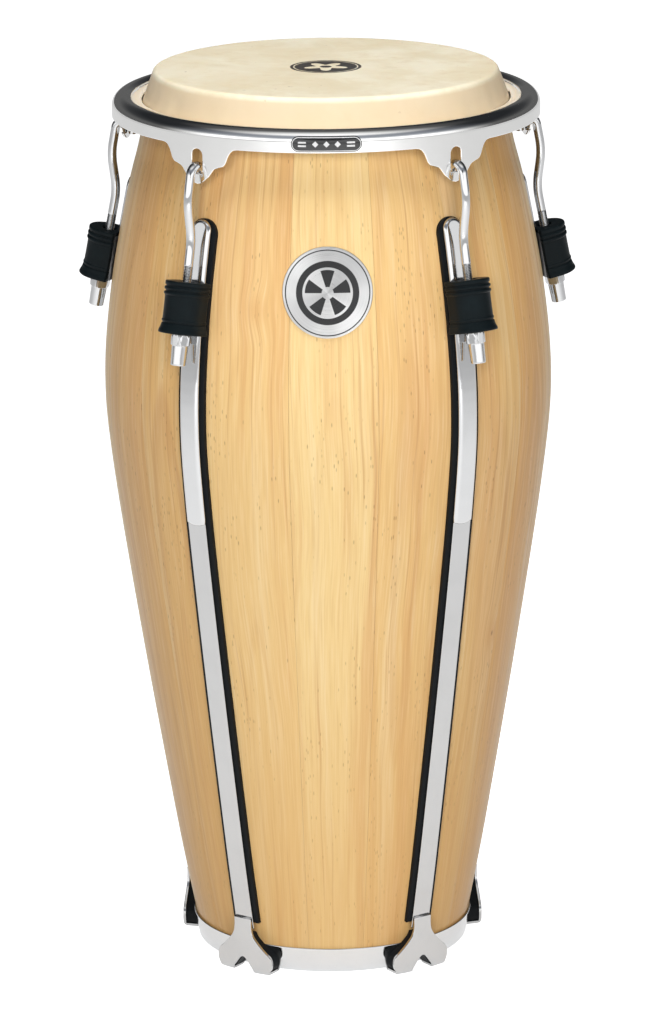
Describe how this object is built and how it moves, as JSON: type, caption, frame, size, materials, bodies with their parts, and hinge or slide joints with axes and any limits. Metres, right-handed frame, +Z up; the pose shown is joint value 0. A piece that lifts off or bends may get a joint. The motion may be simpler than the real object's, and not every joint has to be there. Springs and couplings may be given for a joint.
{
  "type": "conga drum",
  "caption": "Tall tapered stave hand drum with a tensioned skin head, rim, hooks, tuning nuts, straps and chromed feet.",
  "frame": {"origin": "on the floor plane under the feet, at the drum's axis", "axes": "+Z up along the drum's axis, -Y towards the front between two lugs"},
  "size_m": [0.4262, 0.4127, 0.7645],
  "materials": {
    "lacquered_wood": "gloss lacquer over light hardwood",
    "chrome": "polished",
    "dark_steel": "zinc plated",
    "badge_steel": "spun and domed",
    "black_rubber": "moulded, satin",
    "black_plastic": "domed gloss",
    "skin": "dry natural hide"
  },
  "bodies": {
    "shell": {"shell_staves": "lacquered_wood", "bottom_band": "chrome", "drumhead": "skin", "flesh_hoop": "dark_steel", "shell_badge": "badge_steel", "mounting_bolts": "dark_steel", "mounting_washers": "dark_steel", "mounting_nuts": "dark_steel", "tuning_washers": "chrome", "lug_cover_1": "black_rubber", "lug_cover_2": "black_rubber", "lug_cover_3": "black_rubber", "lug_cover_4": "black_rubber", "lug_cover_5": "black_rubber", "lug_receiver_1": "dark_steel", "lug_receiver_2": "dark_steel", "lug_receiver_3": "dark_steel", "lug_receiver_4": "dark_steel", "lug_receiver_5": "dark_steel", "side_plate_1": "chrome", "side_plate_2": "chrome", "side_plate_3": "chrome", "side_plate_4": "chrome", "side_plate_5": "chrome", "strap_1": "chrome", "strap_2": "chrome", "strap_3": "chrome", "strap_4": "chrome", "strap_5": "chrome", "strap_pad_1": "black_rubber", "strap_pad_2": "black_rubber", "strap_pad_3": "black_rubber", "strap_pad_4": "black_rubber", "strap_pad_5": "black_rubber", "foot_plate_1": "chrome", "foot_plate_2": "chrome", "foot_plate_3": "chrome", "foot_plate_4": "chrome", "foot_plate_5": "chrome", "foot_pad_1": "black_rubber", "foot_pad_2": "black_rubber", "foot_pad_3": "black_rubber", "foot_pad_4": "black_rubber", "foot_pad_5": "black_rubber"},
    "rim": {"rim": "chrome", "rim_badge": "black_plastic"},
    "hook_1": {"hook_1": "chrome"},
    "tuning_nut_1": {"tuning_nut_1": "chrome"},
    "hook_2": {"hook_2": "chrome"},
    "tuning_nut_2": {"tuning_nut_2": "chrome"},
    "hook_3": {"hook_3": "chrome"},
    "tuning_nut_3": {"tuning_nut_3": "chrome"},
    "hook_4": {"hook_4": "chrome"},
    "tuning_nut_4": {"tuning_nut_4": "chrome"},
    "hook_5": {"hook_5": "chrome"},
    "tuning_nut_5": {"tuning_nut_5": "chrome"}
  },
  "joints": [
    {"name": "rim_lift", "type": "slide", "parent": "shell", "child": "rim", "axis": [0, 0, 1], "range_m": [0, 0.006]},
    {"name": "hook_slide_1", "type": "slide", "parent": "shell", "child": "hook_1", "axis": [-0.1172, 0.1613, 0.9799], "range_m": [0, 0.0062]},
    {"name": "hook_slide_2", "type": "slide", "parent": "shell", "child": "hook_2", "axis": [-0.1896, -0.0616, 0.9799], "range_m": [0, 0.0062]},
    {"name": "hook_slide_3", "type": "slide", "parent": "shell", "child": "hook_3", "axis": [0, -0.1994, 0.9799], "range_m": [0, 0.0062]},
    {"name": "hook_slide_4", "type": "slide", "parent": "shell", "child": "hook_4", "axis": [0.1896, -0.0616, 0.9799], "range_m": [0, 0.0062]},
    {"name": "hook_slide_5", "type": "slide", "parent": "shell", "child": "hook_5", "axis": [0.1172, 0.1613, 0.9799], "range_m": [0, 0.0062]},
    {"name": "nut_turn_1", "type": "hinge", "parent": "shell", "child": "tuning_nut_1", "pos_m": [0.1175, -0.16172, 0.5945], "axis": [-0.1172, 0.1613, 0.9799], "range_deg": [-1800, 0]},
    {"name": "nut_turn_2", "type": "hinge", "parent": "shell", "child": "tuning_nut_2", "pos_m": [0.19012, 0.06177, 0.5945], "axis": [-0.1896, -0.0616, 0.9799], "range_deg": [-1800, 0]},
    {"name": "nut_turn_3", "type": "hinge", "parent": "shell", "child": "tuning_nut_3", "pos_m": [0, 0.1999, 0.5945], "axis": [0, -0.1994, 0.9799], "range_deg": [-1800, 0]},
    {"name": "nut_turn_4", "type": "hinge", "parent": "shell", "child": "tuning_nut_4", "pos_m": [-0.19012, 0.06177, 0.5945], "axis": [0.1896, -0.0616, 0.9799], "range_deg": [-1800, 0]},
    {"name": "nut_turn_5", "type": "hinge", "parent": "shell", "child": "tuning_nut_5", "pos_m": [-0.1175, -0.16172, 0.5945], "axis": [0.1172, 0.1613, 0.9799], "range_deg": [-1800, 0]}
  ],
  "couplings": [
    {"joint": "hook_slide_1", "follows": "rim_lift", "ratio": 1.0205},
    {"joint": "hook_slide_2", "follows": "rim_lift", "ratio": 1.0205},
    {"joint": "hook_slide_3", "follows": "rim_lift", "ratio": 1.0205},
    {"joint": "hook_slide_4", "follows": "rim_lift", "ratio": 1.0205},
    {"joint": "hook_slide_5", "follows": "rim_lift", "ratio": 1.0205},
    {"joint": "nut_turn_1", "follows": "rim_lift", "rad_per_m": -5129.5},
    {"joint": "nut_turn_2", "follows": "rim_lift", "rad_per_m": -5129.5},
    {"joint": "nut_turn_3", "follows": "rim_lift", "rad_per_m": -5129.5},
    {"joint": "nut_turn_4", "follows": "rim_lift", "rad_per_m": -5129.5},
    {"joint": "nut_turn_5", "follows": "rim_lift", "rad_per_m": -5129.5}
  ]
}
